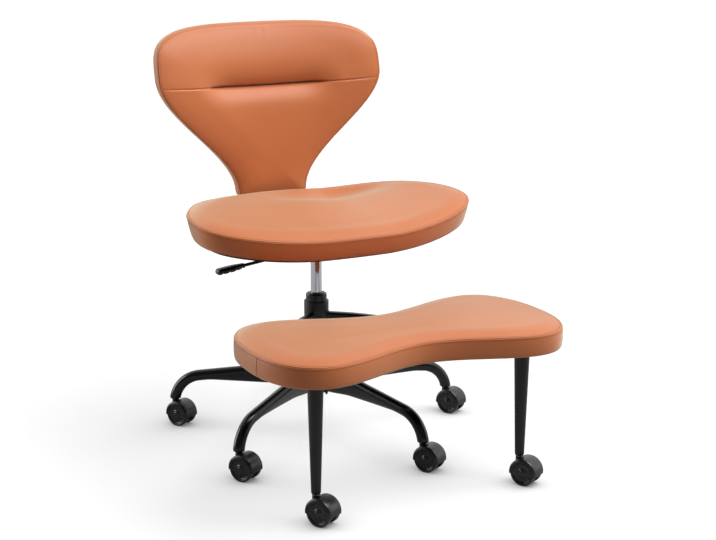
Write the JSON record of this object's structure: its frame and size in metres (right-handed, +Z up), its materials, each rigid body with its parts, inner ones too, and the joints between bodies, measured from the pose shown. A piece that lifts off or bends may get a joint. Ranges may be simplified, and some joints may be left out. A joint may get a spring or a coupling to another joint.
{
  "type": "rolling meditation chair",
  "caption": "Rolling meditation chair: padded seat and flared backrest on a gas lift and star base, with a wide padded footrest that swings round the column on its own castered legs.",
  "frame": {"origin": "on the floor, in plan at the middle of the whole footprint", "axes": "+Z up, the seat, the backrest and the footrest all face -Y, +X is the sitter's left"},
  "size_m": [0.6916, 0.8762, 0.8676],
  "materials": {
    "black_nylon": "black moulded nylon",
    "black_powder_coat": "glossy black powder coat",
    "chrome": "polished chrome",
    "plywood": "plain plywood",
    "satin_black": "satin black paint",
    "steel": "bare steel",
    "tan_leather": "smooth tan synthetic leather with a fine grain",
    "wheel_rubber": "black polyurethane"
  },
  "bodies": {
    "base": {"base_hub": "black_powder_coat", "base_leg_1": "black_powder_coat", "base_leg_2": "black_powder_coat", "base_leg_3": "black_powder_coat", "base_leg_4": "black_powder_coat", "base_leg_5": "black_powder_coat", "gas_lift_tube": "black_powder_coat", "rod_guide": "black_nylon", "footrest_stop_ring": "steel", "caster_1_stem": "steel", "caster_2_stem": "steel", "caster_3_stem": "steel", "caster_4_stem": "steel", "caster_5_stem": "steel"},
    "footrest": {"footrest_sleeve": "satin_black", "footrest_bush": "black_nylon", "footrest_arm_left": "satin_black", "footrest_arm_right": "satin_black", "footrest_board": "plywood", "footrest_cushion": "tan_leather", "footrest_leg_left": "satin_black", "footrest_leg_right": "satin_black", "footrest_leg_plate_left": "satin_black", "footrest_leg_plate_right": "satin_black", "caster_6_stem": "steel", "caster_7_stem": "steel"},
    "lift": {"gas_lift_rod": "chrome"},
    "valve": {"valve_button": "steel"},
    "seat": {"mounting_plate": "satin_black", "mechanism_housing": "satin_black", "taper_socket": "steel", "seat_shell": "satin_black", "seat_cushion": "tan_leather", "back_bar": "black_powder_coat", "back_board": "satin_black", "back_cushion": "tan_leather"},
    "lever": {"lever_rod": "satin_black", "lever_grip": "black_nylon"},
    "caster_1": {"caster_1_body": "black_nylon"},
    "caster_1_wheel_left": {"caster_1_wheel_left": "wheel_rubber"},
    "caster_1_wheel_right": {"caster_1_wheel_right": "wheel_rubber"},
    "caster_2": {"caster_2_body": "black_nylon"},
    "caster_2_wheel_left": {"caster_2_wheel_left": "wheel_rubber"},
    "caster_2_wheel_right": {"caster_2_wheel_right": "wheel_rubber"},
    "caster_3": {"caster_3_body": "black_nylon"},
    "caster_3_wheel_left": {"caster_3_wheel_left": "wheel_rubber"},
    "caster_3_wheel_right": {"caster_3_wheel_right": "wheel_rubber"},
    "caster_4": {"caster_4_body": "black_nylon"},
    "caster_4_wheel_left": {"caster_4_wheel_left": "wheel_rubber"},
    "caster_4_wheel_right": {"caster_4_wheel_right": "wheel_rubber"},
    "caster_5": {"caster_5_body": "black_nylon"},
    "caster_5_wheel_left": {"caster_5_wheel_left": "wheel_rubber"},
    "caster_5_wheel_right": {"caster_5_wheel_right": "wheel_rubber"},
    "caster_6": {"caster_6_body": "black_nylon"},
    "caster_6_wheel_left": {"caster_6_wheel_left": "wheel_rubber"},
    "caster_6_wheel_right": {"caster_6_wheel_right": "wheel_rubber"},
    "caster_7": {"caster_7_body": "black_nylon"},
    "caster_7_wheel_left": {"caster_7_wheel_left": "wheel_rubber"},
    "caster_7_wheel_right": {"caster_7_wheel_right": "wheel_rubber"}
  },
  "joints": [
    {"name": "seat_height", "type": "slide", "parent": "base", "child": "lift", "axis": [0, 0, 1], "range_m": [-0.04, 0.06]},
    {"name": "seat_swivel", "type": "hinge", "parent": "lift", "child": "seat", "pos_m": [-0.01379, 0.1149, 0.39006], "axis": [0, 0, 1], "continuous": true},
    {"name": "valve_travel", "type": "slide", "parent": "lift", "child": "valve", "axis": [0, 0, -1], "range_m": [0, 0.0036]},
    {"name": "footrest_swivel", "type": "hinge", "parent": "base", "child": "footrest", "pos_m": [-0.01379, 0.1149, 0.25], "axis": [0, 0, 1], "continuous": true},
    {"name": "lever_lift", "type": "hinge", "parent": "seat", "child": "lever", "pos_m": [-0.06954, 0.10805, 0.44186], "axis": [-0.1219, 0.9925, 0], "range_deg": [0, 3.5], "stiffness_Nm_per_rad": 1, "springref_deg": -2.86},
    {"name": "caster_1_swivel", "type": "hinge", "parent": "base", "child": "caster_1", "pos_m": [0.30612, 0.10736, 0.058], "axis": [0, 0, 1], "continuous": true},
    {"name": "caster_1_roll_left", "type": "hinge", "parent": "caster_1", "child": "caster_1_wheel_left", "pos_m": [0.31388, 0.09337, 0.0265], "axis": [0.8746, 0.4848, 0], "continuous": true},
    {"name": "caster_1_roll_right", "type": "hinge", "parent": "caster_1", "child": "caster_1_wheel_right", "pos_m": [0.31388, 0.09337, 0.0265], "axis": [0.8746, 0.4848, 0], "continuous": true},
    {"name": "caster_2_swivel", "type": "hinge", "parent": "base", "child": "caster_2", "pos_m": [0.09224, 0.41682, 0.058], "axis": [0, 0, 1], "continuous": true},
    {"name": "caster_2_roll_left", "type": "hinge", "parent": "caster_2", "child": "caster_2_wheel_left", "pos_m": [0.1, 0.40283, 0.0265], "axis": [0.8746, 0.4848, 0], "continuous": true},
    {"name": "caster_2_roll_right", "type": "hinge", "parent": "caster_2", "child": "caster_2_wheel_right", "pos_m": [0.1, 0.40283, 0.0265], "axis": [0.8746, 0.4848, 0], "continuous": true},
    {"name": "caster_3_swivel", "type": "hinge", "parent": "base", "child": "caster_3", "pos_m": [-0.26817, 0.30904, 0.058], "axis": [0, 0, 1], "continuous": true},
    {"name": "caster_3_roll_left", "type": "hinge", "parent": "caster_3", "child": "caster_3_wheel_left", "pos_m": [-0.26041, 0.29504, 0.0265], "axis": [0.8746, 0.4848, 0], "continuous": true},
    {"name": "caster_3_roll_right", "type": "hinge", "parent": "caster_3", "child": "caster_3_wheel_right", "pos_m": [-0.26041, 0.29504, 0.0265], "axis": [0.8746, 0.4848, 0], "continuous": true},
    {"name": "caster_4_swivel", "type": "hinge", "parent": "base", "child": "caster_4", "pos_m": [-0.27703, -0.06704, 0.058], "axis": [0, 0, 1], "continuous": true},
    {"name": "caster_4_roll_left", "type": "hinge", "parent": "caster_4", "child": "caster_4_wheel_left", "pos_m": [-0.26928, -0.08104, 0.0265], "axis": [0.8746, 0.4848, 0], "continuous": true},
    {"name": "caster_4_roll_right", "type": "hinge", "parent": "caster_4", "child": "caster_4_wheel_right", "pos_m": [-0.26928, -0.08104, 0.0265], "axis": [0.8746, 0.4848, 0], "continuous": true},
    {"name": "caster_5_swivel", "type": "hinge", "parent": "base", "child": "caster_5", "pos_m": [0.0779, -0.19168, 0.058], "axis": [0, 0, 1], "continuous": true},
    {"name": "caster_5_roll_left", "type": "hinge", "parent": "caster_5", "child": "caster_5_wheel_left", "pos_m": [0.08566, -0.20568, 0.0265], "axis": [0.8746, 0.4848, 0], "continuous": true},
    {"name": "caster_5_roll_right", "type": "hinge", "parent": "caster_5", "child": "caster_5_wheel_right", "pos_m": [0.08566, -0.20568, 0.0265], "axis": [0.8746, 0.4848, 0], "continuous": true},
    {"name": "caster_6_swivel", "type": "hinge", "parent": "footrest", "child": "caster_6", "pos_m": [-0.23979, -0.3451, 0.058], "axis": [0, 0, 1], "continuous": true},
    {"name": "caster_6_roll_left", "type": "hinge", "parent": "caster_6", "child": "caster_6_wheel_left", "pos_m": [-0.23203, -0.3591, 0.0265], "axis": [0.8746, 0.4848, 0], "continuous": true},
    {"name": "caster_6_roll_right", "type": "hinge", "parent": "caster_6", "child": "caster_6_wheel_right", "pos_m": [-0.23203, -0.3591, 0.0265], "axis": [0.8746, 0.4848, 0], "continuous": true},
    {"name": "caster_7_swivel", "type": "hinge", "parent": "footrest", "child": "caster_7", "pos_m": [0.21221, -0.3451, 0.058], "axis": [0, 0, 1], "continuous": true},
    {"name": "caster_7_roll_left", "type": "hinge", "parent": "caster_7", "child": "caster_7_wheel_left", "pos_m": [0.21997, -0.3591, 0.0265], "axis": [0.8746, 0.4848, 0], "continuous": true},
    {"name": "caster_7_roll_right", "type": "hinge", "parent": "caster_7", "child": "caster_7_wheel_right", "pos_m": [0.21997, -0.3591, 0.0265], "axis": [0.8746, 0.4848, 0], "continuous": true}
  ],
  "couplings": [
    {"joint": "valve_travel", "follows": "lever_lift", "m_per_rad": 0.0575}
  ]
}
